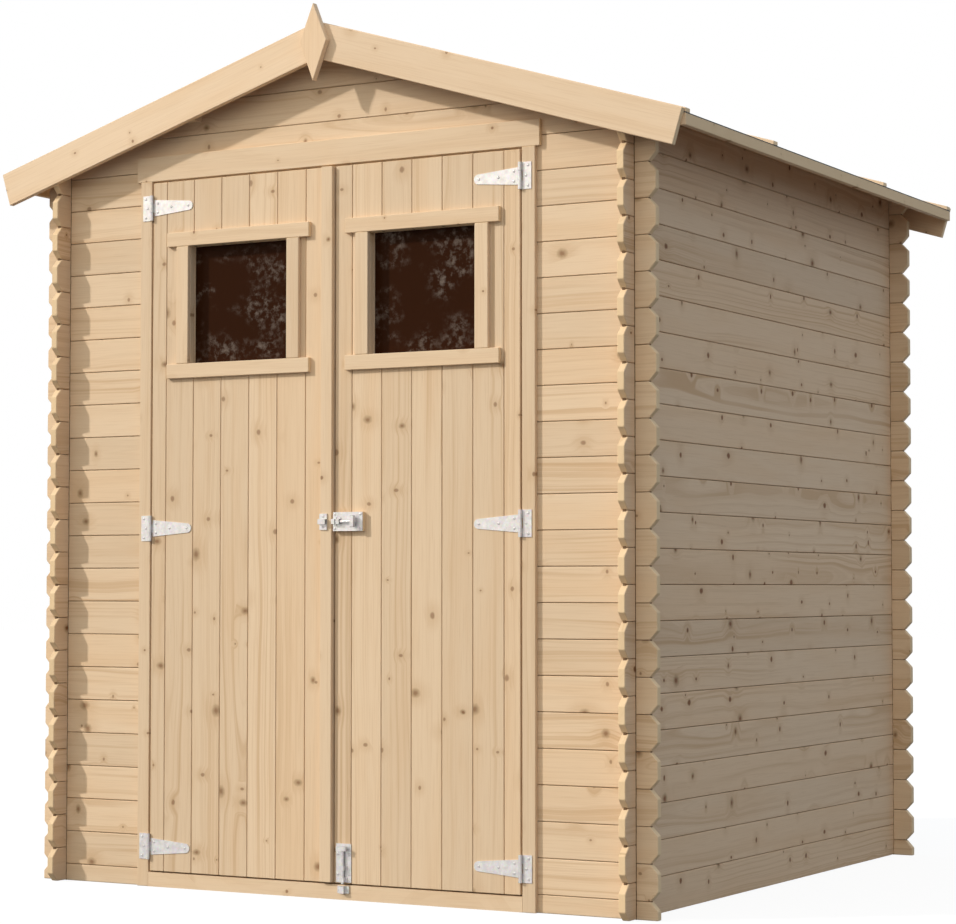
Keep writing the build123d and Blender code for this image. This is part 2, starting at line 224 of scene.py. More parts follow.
def pine(name, colours, source="boards", density=(0.42, 0.32), tint=None, edge=0.74, grain=0.42, knot=1.0):
    """Planed pine with small and large knots.

    Source is boards, which carry their own coordinates, or the grain's axis. Density is the share of
    cells with a small and a large knot, edge and grain how strongly knots and rings show, and knot
    scales the knots.
    """
    g = new_material(name)[1]
    if source == "boards":
        place = g.add("ShaderNodeAttribute", attribute_name="wood").outputs["Vector"]
        seed = g.add("ShaderNodeAttribute", attribute_name="tone").outputs["Fac"]
        cut = g.add("ShaderNodeAttribute", attribute_name="cut").outputs["Fac"]
    else:
        here = g.here()
        parts = g.add("ShaderNodeSeparateXYZ", {0: here})
        order = {"X": (0, 2, 1), "Y": (1, 0, 2), "Z": (2, 0, 1)}[source]
        turned = g.add("ShaderNodeCombineXYZ", {n: parts.outputs[axis] for n, axis in enumerate(order)})
        place = g.vector("ADD", turned.outputs[0], (0, 31 * MM, 47 * MM))
        seed = g.math("SNAP", g.noise(place, 2.1, 0.0), 0.02)
        cut = None
    parts = g.add("ShaderNodeSeparateXYZ", {0: place})
    along, across = parts.outputs[0], parts.outputs[1]
    wobble = g.math("MULTIPLY", g.noise(place, 110.0, 3.0), 0.55)
    unit = knot * MM
    small, few = knots(g, along, across, seed, (210 * MM, 64 * MM), (2.0 * unit, 5.6 * unit), density[0], 0.0)
    large, some = knots(g, along, across, seed, (430 * MM, 84 * MM), (6.0 * unit, 10.0 * unit), density[1],
                        13.1)
    small = g.math("ADD", small, wobble)
    large = g.math("ADD", large, wobble)
    core = g.math("MULTIPLY", g.ramp(small, 1.55, 0.8), few)
    eye = g.math("MULTIPLY", g.ramp(large, 1.1, 0.45), some)
    disc = g.math("MULTIPLY", g.ramp(large, 1.7, 0.95), some)
    halo = g.math("MAXIMUM", g.math("MULTIPLY", g.ramp(small, 6.0, 1.0), few),
                  g.math("MULTIPLY", g.ramp(large, 5.0, 1.0), some))

    drift = g.noise(g.vector("MULTIPLY", place, (1.3, 4.0, 4.0)), 1.0, 2.0)
    ring = g.vector("LENGTH", g.vector("MULTIPLY", place, (0.0, 1.0, 1.0)))
    ring = g.math("ADD", ring, g.math("MULTIPLY", drift, 40 * MM))
    ring = g.math("ADD", ring, g.math("MULTIPLY", halo, 8 * MM))
    ring = g.math("MULTIPLY", ring, 135.0)
    phase = g.add("ShaderNodeCombineXYZ", {0: ring, 1: g.math("MULTIPLY", seed, 17.0)})
    lines = g.ramp(g.noise(phase.outputs[0], 1.0, 3.0, 0.6), 0.46, 0.66)
    fibre = g.noise(g.vector("MULTIPLY", place, (9.0, 420.0, 420.0)), 1.0, 2.0)
    cloud = g.noise(g.vector("MULTIPLY", place, (2.0, 16.0, 16.0)), 1.0, 3.0)
    fade = g.noise(g.vector("MULTIPLY", place, (1.1, 3.0, 3.0)), 1.0, 2.0)
    split = g.noise(g.vector("MULTIPLY", place, (4.0, 130.0, 130.0)), 1.0, 4.0, 0.7)

    base = g.mix(g.ramp(seed, 0.60, 1.0, 0.0, 0.32), rgba(colours.pale), rgba(colours.honey))
    base = g.mix(g.ramp(cloud, 0.42, 0.75, 0.0, 0.48), base, rgba(colours.honey))
    strength = g.ramp(fade, 0.35, 0.65, 0.10, grain)
    base = g.mix(g.math("MULTIPLY", lines, strength), base, rgba(colours.dark))
    base = g.mix(g.ramp(fibre, 0.45, 0.8, 0.0, 0.28), base, rgba(colours.dark))
    base = g.mix(g.ramp(split, 0.68, 0.78, 0.0, 0.50), base, rgba(colours.dark, 0.7))
    base = g.mix(g.math("MULTIPLY", halo, 0.34), base, rgba(colours.dark))
    base = g.mix(g.math("MULTIPLY", disc, 0.60), base, rgba(colours.dark, 0.66))
    base = g.mix(g.math("MULTIPLY", eye, edge), base, rgba(colours.knot))
    base = g.mix(g.math("MULTIPLY", core, edge), base, rgba(colours.knot))
    if cut is not None:
        base = g.mix(g.math("MULTIPLY", cut, 0.75), base, rgba(colours.cut))
    shade = g.ramp(seed, 0.0, 0.60, 0.94, 1.03)
    base = g.mix(1.0, base, g.grey(shade), "MULTIPLY")
    if tint:
        base = g.mix(1.0, base, rgba(tint), "MULTIPLY")
    height = g.math("ADD", g.math("MULTIPLY", lines, -0.5), g.math("MULTIPLY", fibre, 0.6))
    close(g, base, 0.62, height, 0.35 * MM, 0.35, **{"Specular IOR Level": 0.2})


def painted_shade_wood(name, value):
    """Wood painted dark as the shade in the open joints, for the tongues and corner lines."""
    g = new_material(name)[1]
    here = g.here()
    cloud = g.noise(here, 30.0, 2.0)
    base = g.mix(cloud, rgba(value, 0.7), rgba(value, 1.3))
    close(g, base, 0.9)


def zinc(colours):
    """Zinc plating: pale, faintly spangled and a little dull."""
    g = new_material("zinc_plating")[1]
    here = g.here()
    spangle = g.add("ShaderNodeTexVoronoi", {"Vector": here, "Scale": 260.0}).outputs["Color"]
    cloud = g.noise(here, 60.0, 3.0)
    shade = g.ramp(cloud, 0.3, 0.75, 0.86, 1.05)
    tint = g.mix(0.10, rgba(colours.zinc), spangle, "OVERLAY")
    tint = g.mix(1.0, tint, g.grey(shade), "MULTIPLY")
    close(g, tint, 0.42, cloud, 0.1 * MM, 0.2, Metallic=0.55)


def dark_steel(colours):
    """Screw heads, a little darker than the plates."""
    g = new_material("screw_steel")[1]
    here = g.here()
    cloud = g.noise(here, 900.0, 2.0)
    tint = g.mix(cloud, rgba(colours.zinc, 0.80), rgba(colours.zinc, 0.95))
    close(g, tint, 0.4, cloud, 0.05 * MM, 0.2, Metallic=0.5)


def felt(colours):
    """Mineral grit on bitumen felt."""
    g = new_material("grit_felt")[1]
    here = g.here()
    grit = g.noise(here, 900.0, 2.0)
    patch = g.noise(here, 6.0, 3.0)
    base = g.mix(g.ramp(grit, 0.35, 0.7), rgba(colours.felt, 0.55), rgba(colours.felt, 1.7))
    base = g.mix(g.ramp(patch, 0.4, 0.7, 0.0, 0.3), base, rgba(colours.felt, 1.3))
    close(g, base, 0.9, grit, 0.8 * MM, 0.8, **{"Specular IOR Level": 0.2})


def pane(colours):
    """Pane over a dark room, painted dark as the room's shade, with a faint mottled painted reflection."""
    g = new_material("window_pane")[1]
    here = g.here()
    blotch = g.noise(here, 55.0, 8.0, 0.62)
    spread = g.noise(g.vector("MULTIPLY", here, (1.0, 1.0, 1.4)), 7.0, 2.0)
    # Mask of the painted reflection on the glass.
    painted_reflection = g.math("MULTIPLY", g.ramp(blotch, 0.44, 0.74), g.ramp(spread, 0.44, 0.64))
    # Painted shade of the room behind the glass, under the painted reflection.
    tint = g.mix(painted_reflection, rgba(colours.pane), rgba(colours.painted_reflection))
    close(g, tint, 0.25, None, Alpha=0.97, **{"Specular IOR Level": 0.02})


class Pile:
    """Boards gathered into one mesh, each with its own grain coordinates and tone."""

    def __init__(self, seed):
        self.random = random.Random(seed)
        self.verts = []
        self.faces = []
        self.wood = []
        self.tone = []
        self.cut = []
        self.kind = []

    def add(self, outline, depth, place, edge, upright=False, lean=0.0, tone=None, kind=0):
        """A prism from an outline of (a, b) points and a depth range, put in the world by place.

        The grain runs along a, turned by lean, or along b if the board is upright.
        """
        bm = bmesh.new()
        near = [bm.verts.new((a, b, depth[0])) for a, b in outline]
        far = [bm.verts.new((a, b, depth[1])) for a, b in outline]
        bm.faces.new(near)
        bm.faces.new(far[::-1])
        for n in range(len(outline)):
            m = (n + 1) % len(outline)
            bm.faces.new((near[m], near[n], far[n], far[m]))
        bmesh.ops.remove_doubles(bm, verts=bm.verts, dist=TINY)
        bmesh.ops.recalc_face_normals(bm, faces=bm.faces)
        if edge:
            sharp = [e for e in bm.edges if len(e.link_faces) == 2 and e.calc_face_angle() > 0.35]
            bmesh.ops.bevel(bm, geom=sharp, offset=edge, segments=1, affect="EDGES", clamp_overlap=True)
        rng = self.random
        along = rng.uniform(0, 40)
        pith = Vector((along, rng.choice((-1, 1)) * rng.uniform(10, 90) * MM, rng.uniform(20, 120) * MM))
        shade = rng.random() if tone is None else tone
        middle = sum((v.co for v in bm.verts), Vector()) / len(bm.verts)
        turn = Matrix.Rotation(math.pi / 2 if upright else lean, 3, "Z").transposed()
        grain = turn.transposed() @ Vector((1, 0, 0))
        start = len(self.verts)
        bm.verts.index_update()
        for v in bm.verts:
            self.verts.append(place(*v.co))
            self.wood.append(turn @ (v.co - middle) + pith)
            self.tone.append(shade)
        for f in bm.faces:
            self.faces.append([start + v.index for v in f.verts])
            self.cut.append(min(1.0, max(0.0, abs(f.normal.dot(grain)) * 2 - 0.7)))
            self.kind.append(kind)
        bm.free()

    def mesh(self, name):
        """The boards as one mesh with its wood, tone and cut attributes."""
        mesh = bpy.data.meshes.new(name)
        mesh.from_pydata([tuple(v) for v in self.verts], [], self.faces)
        mesh.polygons.foreach_set("material_index", self.kind)
        wood = mesh.attributes.new("wood", "FLOAT_VECTOR", "POINT")
        wood.data.foreach_set("vector", [c for v in self.wood for c in v])
        tone = mesh.attributes.new("tone", "FLOAT", "POINT")
        tone.data.foreach_set("value", self.tone)
        cut = mesh.attributes.new("cut", "FLOAT", "FACE")
        cut.data.foreach_set("value", self.cut)
        bm = bmesh.new()
        bm.from_mesh(mesh)
        bmesh.ops.recalc_face_normals(bm, faces=bm.faces)
        bm.to_mesh(mesh)
        bm.free()
        return mesh

    def make(self, name, finish, body, slot, *nodes):
        """The boards as a finished piece that replaces its CAD nodes."""
        mesh = self.mesh(name)
        mesh.materials.append(material(finish))
        # The second slot is wood painted dark as the shade in joints and corners.
        if any(self.kind):
            mesh.materials.append(material("joint_wood"))
        piece = bpy.data.objects.new(name, mesh)
        bpy.context.scene.collection.objects.link(piece)
        return settle(piece, body, slot, *nodes)


def settle(piece, body, slot, *nodes):
    """Say which body a piece moves with and what it replaces. The slot is not used."""
    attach(piece, body)
    if nodes:
        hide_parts(*nodes)
    return piece


def xz(y):
    """World place of an (x, z) outline whose depth runs back from y."""
    return lambda a, b, c: (a, y + c, b)


def paint(node, finish):
    """Give a CAD node its finish."""
    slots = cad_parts[node].data.materials
    slots.clear()
    slots.append(material(finish))


def material(name):
    return bpy.data.materials[name]


def under_roof(sizes, x):
    """Height of the roof boards' underside at a distance from the ridge."""
    return sizes.ridge - math.tan(sizes.pitch) * abs(x)


def clip(outline, keep):
    """Cut an outline to where keep, a signed distance that is straight in (a, b), isn't negative."""
    out = []
    for n, (a1, b1) in enumerate(outline):
        a0, b0 = outline[n - 1]
        k0, k1 = keep(a0, b0), keep(a1, b1)
        if (k0 < 0) != (k1 < 0):
            t = k0 / (k0 - k1)
            out.append((a0 + (a1 - a0) * t, b0 + (b1 - b0) * t))
        if k1 >= 0:
            out.append((a1, b1))
    return out


def clip_to_roof(sizes, outline):
    """Cut an (x, z) outline off under both slopes."""
    slope = math.tan(sizes.pitch)
    for side in (-1, 1):
        outline = clip(outline, lambda x, z: sizes.ridge - slope * side * x - z)
    return outline


def end_points(sizes, tip, column, low, high, foot=False):
    """Corner points at the +X end of a board, bottom to top: notch, cut corners, notch."""
    quarter = sizes.board / 4
    inner, outer = column
    root = tip - sizes.end_run
    rise = sizes.end_rise
    gap = sizes.joint / 2
    full = high - low > sizes.board * 0.9
    points = []
    if full:
        points += [(inner, low + gap), (inner, low + quarter), (outer, low + quarter), (outer, low + gap)]
        points += [(root, low + gap), (tip, low + rise)]
    else:
        points += [(tip, low)]
    points += [(tip, high - rise), (root, high - gap)]
    points += [(outer, high - gap), (outer, high - quarter), (inner, high - quarter), (inner, high - gap)]
    return points


def flip(points):
    """The same corner points at the other end."""
    return [(-a, b) for a, b in points][::-1]


def tongues(pile, span, levels, wall_t, place):
    """Narrow tongues behind the joints, so that no light comes through, painted dark as the shade in the
    joints.
    """
    a0, a1 = span
    for level in levels:
        outline = [(a0, level - TONGUE), (a1, level - TONGUE), (a1, level + TONGUE), (a0, level + TONGUE)]
        pile.add(outline, (wall_t * 0.3, wall_t * 0.7), place, 0, kind=1)


def corner_lines(pile, column, low, high, place, sides=(-1, 1)):
    """Thin strips painted dark as the shade where the crossing wall's boards stand against this wall's face."""
    w = 1.3 * MM
    for side in sides:
        for a0, a1 in ((column[0] - w, column[0]), (column[1], column[1] + w)):
            near, far = sorted((side * a0, side * a1))
            outline = [(near, low), (far, low), (far, high), (near, high)]
            pile.add(outline, (-0.3 * MM, 1.0 * MM), place, 0, kind=1)


def side_wall_span():
    """Where the right wall starts and ends in x, and its thickness."""
    low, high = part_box("right_wall")
    return (low.x, high.x), high.x - low.x


def front_boards(sizes):
    """Boards of the front wall beside and over the doorway."""
    column, wall_t = side_wall_span()
    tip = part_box("front_gable")[1].x
    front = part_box("front_gable")[0].y
    door_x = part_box("front_wall_right")[0].x
    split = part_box("front_wall_right")[1].z
    door_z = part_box("front_gable")[0].z
    gap = sizes.joint / 2
    p = sizes.board
    sides = {"left": Pile(11), "right": Pile(12)}
    count = round(split / p + 0.5)
    tongue_end = tip - sizes.end_run
    for side, pile in sides.items():
        for n in range(count):
            low = max(0.0, (n - 0.5) * p)
            high = (n + 0.5) * p
            points = [(door_x, low + (gap if n else 0))] + end_points(sizes, tip, column, low, high)
            points.append((door_x, high - gap))
            if side == "left":
                points = flip(points)
            pile.add(points, (0, wall_t), xz(front), sizes.edge)
        span = (door_x, tongue_end) if side == "right" else (-tongue_end, -door_x)
        tongues(pile, span, [(n + 0.5) * p for n in range(count)], wall_t, xz(front))
        corner_lines(pile, column, 0.0, split, xz(front), (1,) if side == "right" else (-1,))
        pile.make(f"front_boards_{side}", "pine_boards", "root", "wall_boards", f"front_wall_{side}")
    gable = Pile(13)
    gable_boards(gable, sizes, tip, column, split, wall_t, front)
    corner_lines(gable, column, split, under_roof(sizes, column[1]) - 1 * MM, xz(front))
    strip = [(-door_x, door_z), (door_x, door_z), (door_x, split - gap), (-door_x, split - gap)]
    gable.add(strip, (0, wall_t), xz(front), sizes.edge)
    gable.make("front_gable_boards", "pine_boards", "root", "wall_boards", "front_gable")


def gable_boards(pile, sizes, tip, column, start, wall_t, y):
    """Whole boards from a joint up to the ridge, cut to the roof's slope."""
    low = start
    p = sizes.board
    levels = []
    while low < sizes.ridge - 10 * MM:
        points = end_points(sizes, tip, column, low, low + p)
        outline = clip_to_roof(sizes, points + flip(points))
        if len(outline) > 2:
            pile.add(outline, (0, wall_t), xz(y), sizes.edge, tone=0.58)
        levels.append(low)
        low += p
    for level in levels:
        reach = min(tip - sizes.end_run, (sizes.ridge - level) / math.tan(sizes.pitch) - 12 * MM)
        tongues(pile, (-reach, reach), [level], wall_t, xz(y))


def rear_boards(sizes):
    """Boards of the rear wall and its gable."""
    column, wall_t = side_wall_span()
    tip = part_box("rear_wall")[1].x
    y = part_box("rear_wall")[0].y
    pile = Pile(14)
    p = sizes.board
    count = round(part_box("front_wall_right")[1].z / p + 0.5)
    for n in range(count):
        points = end_points(sizes, tip, column, max(0.0, (n - 0.5) * p), (n + 0.5) * p)
        pile.add(points + flip(points), (0, wall_t), xz(y), sizes.edge)
    reach = tip - sizes.end_run
    tongues(pile, (-reach, reach), [(n + 0.5) * p for n in range(count - 1)], wall_t, xz(y))
    gable_boards(pile, sizes, tip, column, (count - 0.5) * p, wall_t, y)
    back = (lambda a, b, c: (a, y + wall_t - c, b))
    corner_lines(pile, column, 0.0, under_roof(sizes, column[1]) - 1 * MM, back)
    pile.make("rear_wall_boards", "pine_boards", "root", "wall_boards", "rear_wall")


def side_boards(sizes, side):
    """Boards of the left or right wall, the top one cut to the roof's underside."""
    node = f"{side}_wall"
    low_corner, high_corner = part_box(node)
    half_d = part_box("rear_wall")[1].y
    wall_t = high_corner.x - low_corner.x
    tip = high_corner.y
    column = (half_d - wall_t, half_d)
    p = sizes.board
    outer = high_corner.x if side == "right" else low_corner.x
    turn = -1 if side == "right" else 1
    rise = math.tan(sizes.pitch)
    top = under_roof(sizes, outer)

    def place(a, b, c):
        """The wall's face at depth c. The top edge rises inwards with the roof."""
        lift = c * rise if b > top - 6 * MM else 0.0
        return (outer + turn * c, a, b + lift)

    pile = Pile(15 if side == "right" else 16)
    count = math.ceil(top / p - 0.01)
    for n in range(count):
        points = end_points(sizes, tip, column, n * p, (n + 1) * p)
        outline = points + flip(points)
        if n == count - 1:
            outline = clip(outline, lambda a, b: top - b)
        pile.add(outline, (0, wall_t), place, sizes.edge)
    reach = tip - sizes.end_run + 3 * MM
    tongues(pile, (-reach, reach), [n * p for n in range(1, count)], wall_t, place)
    corner_lines(pile, column, 0.0, top - 8 * MM, place)
    pile.make(f"{side}_wall_boards", "side_boards", "root", "wall_boards", node)


def bar(pile, low, high, axis, edge):
    """A straight board filling a box, its grain along axis X, Y or Z."""
    low, high = Vector(low), Vector(high)
    if axis == "X":
        outline = [(low.x, low.z), (high.x, low.z), (high.x, high.z), (low.x, high.z)]
        pile.add(outline, (low.y, high.y), lambda a, b, c: (a, c, b), edge)
    elif axis == "Z":
        outline = [(low.z, low.x), (high.z, low.x), (high.z, high.x), (low.z, high.x)]
        pile.add(outline, (low.y, high.y), lambda a, b, c: (b, c, a), edge)
    else:
        outline = [(low.y, low.z), (high.y, low.z), (high.y, high.z), (low.y, high.z)]
        pile.add(outline, (low.x, high.x), lambda a, b, c: (c, a, b), edge)


def islands(node):
    """Boxes round the separate solids of a CAD node."""
    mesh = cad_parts[node].data.copy()
    bm = bmesh.new()
    bm.from_mesh(mesh)
    bmesh.ops.remove_doubles(bm, verts=bm.verts, dist=TINY)
    seen = set()
    boxes = []
    for first in bm.verts:
        if first in seen:
            continue
        group = []
        stack = [first]
        seen.add(first)
        while stack:
            v = stack.pop()
            group.append(v.co.copy())
            for e in v.link_edges:
                other = e.other_vert(v)
                if other not in seen:
                    seen.add(other)
                    stack.append(other)
        low = Vector([min(co[n] for co in group) for n in range(3)])
        high = Vector([max(co[n] for co in group) for n in range(3)])
        boxes.append((low, high))
    bm.free()
    bpy.data.meshes.remove(mesh)
    return sorted(boxes, key=lambda b: tuple(round(c, 4) for c in b[0]))


def bars_for(sizes, node, name, axis, body, seed, slot="trim_boards"):
    """A bevelled board for each solid of a CAD node of straight boards."""
    pile = Pile(seed)
    for low, high in islands(node):
        along = axis
        if axis == "LONG":
            span = high - low
            along = "XYZ"[max(range(3), key=lambda n: span[n])]
        bar(pile, low, high, along, sizes.trim_edge)
    return pile.make(name, "trim_pine", body, slot, node)


def doorway(sizes):
    """The cover boards and frame round the doors."""
    bars_for(sizes, "door_jambs", "jamb_boards", "Z", "root", 21)
    bars_for(sizes, "door_header", "header_board", "X", "root", 22)
    bars_for(sizes, "door_lintel", "lintel_bar", "X", "root", 23)
    paint("door_posts", "pine_up")
    paint("door_sill", "pine_across")


def leaf(sizes, side):
    """Upright boards of one door leaf, cut round the window, with its trim and pane.

    The boards reach a little past the solid, to show the thin gaps over the sill and beside the strip.
    """
    low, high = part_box(f"{side}_door_boards")
    low.z -= 1.5 * MM
    if side == "right":
        low.x -= 2 * MM
    window_low, window_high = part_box(f"{side}_window_glass")
    wx0, wx1 = window_low.x + GLASS_REBATE, window_high.x - GLASS_REBATE
    wz0, wz1 = window_low.z + GLASS_REBATE, window_high.z - GLASS_REBATE
    joints = [LEAF_SEAM + sizes.board * n for n in range(6)]
    if side == "left":
        joints = [-x for x in joints][::-1]
    edges = [low.x] + [x for x in joints if low.x < x < high.x] + [high.x]
    gap = sizes.joint / 2
    pile = Pile(31 if side == "left" else 32)
    thick = high.y - low.y
    for x0, x1 in zip(edges, edges[1:]):
        a0 = x0 + (gap if x0 > low.x else 0)
        a1 = x1 - (gap if x1 < high.x else 0)
        tone = pile.random.random()
        if a1 <= wx0 or a0 >= wx1:
            outlines = [[(a0, low.z), (a1, low.z), (a1, high.z), (a0, high.z)]]
        elif a0 >= wx0 and a1 <= wx1:
            outlines = [[(a0, low.z), (a1, low.z), (a1, wz0), (a0, wz0)],
                        [(a0, wz1), (a1, wz1), (a1, high.z), (a0, high.z)]]
        elif a0 < wx0:
            outlines = [[(a0, low.z), (a1, low.z), (a1, wz0), (wx0, wz0), (wx0, wz1), (a1, wz1),
                         (a1, high.z), (a0, high.z)]]
        else:
            outlines = [[(a0, low.z), (a1, low.z), (a1, high.z), (a0, high.z), (a0, wz1), (wx1, wz1),
                         (wx1, wz0), (a0, wz0)]]
        for outline in outlines:
            pile.add(outline, (0, thick), xz(low.y), sizes.edge * 0.8, upright=True, tone=tone)
        if x1 < high.x:
            runs = [(low.z, wz0), (wz1, high.z)] if wx0 < x1 < wx1 else [(low.z, high.z)]
            for z0, z1 in runs:
                # Tongues behind the leaf's joints, painted dark as joint shade.
                strip = [(x1 - TONGUE, z0), (x1 + TONGUE, z0), (x1 + TONGUE, z1), (x1 - TONGUE, z1)]
                pile.add(strip, (thick * 0.2, thick * 0.8), xz(low.y), 0, upright=True, kind=1)
    body = f"{side}_door"
    pile.make(f"{side}_leaf_boards", "pine_boards", body, "door_boards", f"{side}_door_boards")
    seed = 40 if side == "left" else 50
    bars_for(sizes, f"{side}_window_casing", f"{side}_casing_boards", "LONG", body, seed)
    bars_for(sizes, f"{side}_door_ledges", f"{side}_ledge_bars", "X", body, seed + 1, "door_boards")
    paint(f"{side}_window_sash", "pine_across")
    paint(f"{side}_window_glass", "window_pane")


def instance_tree(name, finish):
    """Node group that lays copies of the incoming board in a row, each with its own grain."""
    tree = bpy.data.node_groups.new(name, "GeometryNodeTree")
    face = tree.interface
    face.new_socket("Geometry", in_out="INPUT", socket_type="NodeSocketGeometry")
    count = face.new_socket("Count", in_out="INPUT", socket_type="NodeSocketInt")
    pitch = face.new_socket("Spacing", in_out="INPUT", socket_type="NodeSocketFloat")
    seed = face.new_socket("Seed", in_out="INPUT", socket_type="NodeSocketInt")
    face.new_socket("Geometry", in_out="OUTPUT", socket_type="NodeSocketGeometry")
    g = Graph(tree)
    start = g.add("NodeGroupInput")
    step = g.add("ShaderNodeCombineXYZ", {1: start.outputs["Spacing"]})
    line = g.add("GeometryNodeMeshLine", {"Count": start.outputs["Count"], "Offset": step.outputs[0]})
    copies = g.add("GeometryNodeInstanceOnPoints", {"Points": line.outputs[0], "Instance": start.outputs[0]})
    index = g.add("GeometryNodeInputIndex")
    tone = g.add("FunctionNodeRandomValue", {"ID": index.outputs[0], "Seed": start.outputs["Seed"]})
    toned = g.add("GeometryNodeStoreNamedAttribute",
                  {"Geometry": copies.outputs[0], "Name": "tone", "Value": tone.outputs[1]},
                  data_type="FLOAT", domain="INSTANCE")
    shift = g.add("FunctionNodeRandomValue",
                  {0: (0, -0.09, 0.02), 1: (40, 0.09, 0.12), "ID": index.outputs[0],
                   "Seed": start.outputs["Seed"]}, data_type="FLOAT_VECTOR")
    shifted = g.add("GeometryNodeStoreNamedAttribute",
                    {"Geometry": toned.outputs[0], "Name": "shift", "Value": shift.outputs[0]},
                    data_type="FLOAT_VECTOR", domain="INSTANCE")
    real = g.add("GeometryNodeRealizeInstances", {0: shifted.outputs[0]})
    local = g.add("GeometryNodeInputNamedAttribute", {"Name": "local"}, data_type="FLOAT_VECTOR")
    offset = g.add("GeometryNodeInputNamedAttribute", {"Name": "shift"}, data_type="FLOAT_VECTOR")
    total = g.add("ShaderNodeVectorMath", {0: local.outputs[0], 1: offset.outputs[0]}, operation="ADD")
    wood = g.add("GeometryNodeStoreNamedAttribute",
                 {"Geometry": real.outputs[0], "Name": "wood", "Value": total.outputs[0]},
                 data_type="FLOAT_VECTOR", domain="POINT")
    done = g.add("GeometryNodeSetMaterial", {"Geometry": wood.outputs[0], "Material": material(finish)})
    out = g.add("NodeGroupOutput")
    tree.links.new(done.outputs[0], out.inputs[0])
    return tree, {"Count": count.identifier, "Spacing": pitch.identifier, "Seed": seed.identifier}


def through_nodes(mesh, name, tree, values, transform=None):
    """Run a mesh through a node group and keep the result as a plain object."""
    source = bpy.data.objects.new(name + "_source", mesh)
    bpy.context.scene.collection.objects.link(source)
    modifier = source.modifiers.new("nodes", "NODES")
    modifier.node_group = tree
    for key, value in values.items():
        modifier[key] = value
    bpy.context.view_layer.update()
    result = bpy.data.meshes.new_from_object(source.evaluated_get(bpy.context.evaluated_depsgraph_get()))
    source.modifiers.remove(modifier)
    bpy.data.objects.remove(source)
    if transform is not None:
        result.transform(transform)
    piece = bpy.data.objects.new(name, result)
    bpy.context.scene.collection.objects.link(piece)
    return piece


def plank_mesh(name, outline, depth, edge):
    """One board along X as a mesh that remembers its own coordinates."""
    pile = Pile(1)
    pile.add(outline, depth, lambda a, b, c: (a, c, b), edge)
    mesh = pile.mesh(name)
    local = mesh.attributes.new("local", "FLOAT_VECTOR", "POINT")
    local.data.foreach_set("vector", [c for v in mesh.vertices for c in v.co])
    for used in ("wood", "tone"):
        mesh.attributes.remove(mesh.attributes[used])
    return mesh


def slope_side(side):
    """World place of an (x, z) outline drawn for the right slope, on the side of the given sign."""
    return lambda a, b, c: (side * a, c, b)


def roof(sizes):
    """Roof boards, felt, battens, eave boards and the gables' trim."""
    slope = math.tan(sizes.pitch)
    low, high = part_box("roof_boards_right")
    reach = high.y
    count = round(2 * reach / sizes.board)
    cover = 2 * reach / count
    length = high.x / math.cos(sizes.pitch)
    gap = sizes.joint / 2
    run = ROOF_T * slope
    outline = [(0, 0), (length, 0), (length + run, ROOF_T), (run, ROOF_T)]
    # Roof boards take pine darkened and warmed as painted shade under the eaves.
    tree, keys = instance_tree("board_row", "roof_pine")
    for side, turn in (("right", 1), ("left", -1)):
        plank = plank_mesh("roof_plank", outline, (-cover / 2 + gap, cover / 2 - gap), sizes.edge)
        place = Matrix.Translation((0, -reach + cover / 2, sizes.ridge)) @ Matrix.Rotation(sizes.pitch, 4, "Y")
        if turn < 0:
            place = Matrix.Scale(-1, 4, (1, 0, 0)) @ place
        values = {keys["Count"]: count, keys["Spacing"]: cover, keys["Seed"]: 60 + turn}
        piece = through_nodes(plank, f"{side}_roof_boards", tree, values, place)
        if turn < 0:
            piece.data.flip_normals()
        settle(piece, "root", "roof_boards", f"roof_boards_{side}")

    top = sizes.ridge + ROOF_T / math.cos(sizes.pitch)
    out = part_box("eave_boards")[1].x
    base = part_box("eave_boards")[0].z
    inner = high.x
    pile = Pile(61)
    outline = [(inner, base), (out, base), (out, top - slope * out), (inner, top - slope * inner)]
    for side in (-1, 1):
        add_cross(pile, outline, (-reach, reach), slope_side(side), sizes.trim_edge)
    pile.make("eave_fascias", "side_boards", "root", "trim_boards", "eave_boards")

    rise = BATTEN_T / math.cos(sizes.pitch)
    felt_top = top + FELT_T / math.cos(sizes.pitch)
    eave = felt_top - slope * out
    strip = Pile(62)
    outline = [(1 * MM, felt_top), (out, eave), (out, eave + rise), (1 * MM, felt_top + rise)]
    for span in sorted({(round(b[0].y, 4), round(b[1].y, 4)) for b in islands("roof_battens")}):
        for side in (-1, 1):
            strip.add(outline, span, slope_side(side), sizes.trim_edge, lean=-sizes.pitch)
    strip.make("batten_strips", "barge_pine", "root", "trim_boards", "roof_battens")

    for gable, seed in (("front", 63), ("rear", 64)):
        trim = Pile(seed)
        low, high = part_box(f"{gable}_barge_boards")
        a0 = 0.5 * MM
        start = high.z - slope * a0
        end = high.z - slope * high.x
        foot = (high.x - BARGE_W * math.sin(sizes.pitch), end - BARGE_W * math.cos(sizes.pitch))
        outline = [(a0, start - BARGE_W / math.cos(sizes.pitch)), foot, (high.x, end), (a0, start)]
        for side in (-1, 1):
            trim.add(outline, (low.y, high.y), slope_side(side), sizes.trim_edge, lean=-sizes.pitch)
        trim.make(f"{gable}_barges", "barge_pine", "root", "trim_boards", f"{gable}_barge_boards")
        low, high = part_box(f"{gable}_finial")
        middle = low.z + (high.z - low.z) * FINIAL_WAIST
        point = Pile(seed + 4)
        outline = [(0, low.z), (high.x, middle), (0, high.z), (low.x, middle)]
        point.add(outline, (low.y, high.y), lambda a, b, c: (a, c, b), sizes.trim_edge, upright=True)
        point.make(f"{gable}_point", "barge_pine", "root", "trim_boards", f"{gable}_finial")
    paint("purlins", "pine_back")
    paint("roof_felt", "grit_felt")


